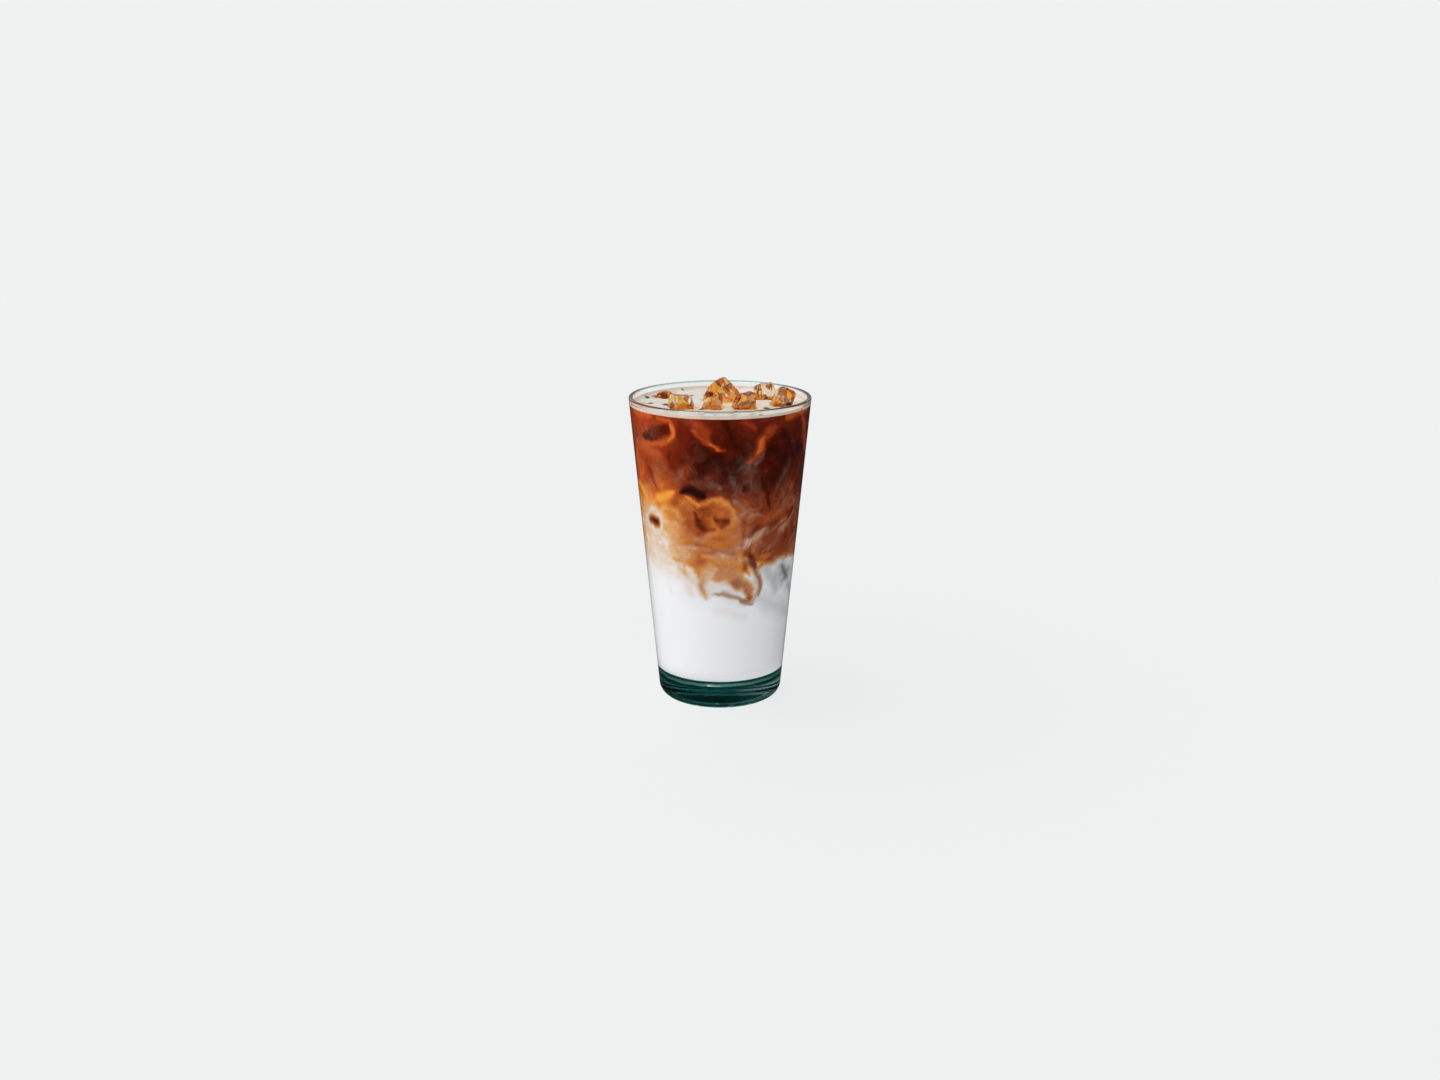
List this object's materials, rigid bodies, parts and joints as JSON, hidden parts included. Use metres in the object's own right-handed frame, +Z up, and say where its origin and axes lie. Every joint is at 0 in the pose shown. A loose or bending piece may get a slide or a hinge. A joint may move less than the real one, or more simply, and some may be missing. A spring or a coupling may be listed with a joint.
{
  "type": "iced caramel macchiato",
  "caption": "Iced layered coffee in a straight-sided tumbler: milk below, marbled coffee and milk, dark espresso above, pale foam, ice cubes standing out of the top.",
  "frame": {"origin": "centre of the glass's foot, on the surface it stands on", "axes": "+Z up the glass, -Y towards the side the picture shows, +X to that side's right"},
  "size_m": [0.0878, 0.0878, 0.1567],
  "materials": {
    "green_glass": "clear pressed soda-lime glass, deep green in the thick base",
    "milk": "cold milk, opaque and smooth against the glass",
    "milky_coffee": "espresso swirling into milk, marbled tan and brown",
    "espresso": "dark red-brown espresso, lit orange near the wall",
    "foam": "thin pale cream foam with fine bubbles",
    "ice": "wet melting ice, tinted amber by coffee"
  },
  "bodies": {
    "root": {"glass": "green_glass", "milk": "milk", "marbled": "milky_coffee", "espresso": "espresso", "foam": "foam", "ice_1": "ice", "ice_2": "ice", "ice_3": "ice", "ice_4": "ice", "ice_5": "ice", "ice_6": "ice", "ice_7": "ice"}
  },
  "joints": []
}
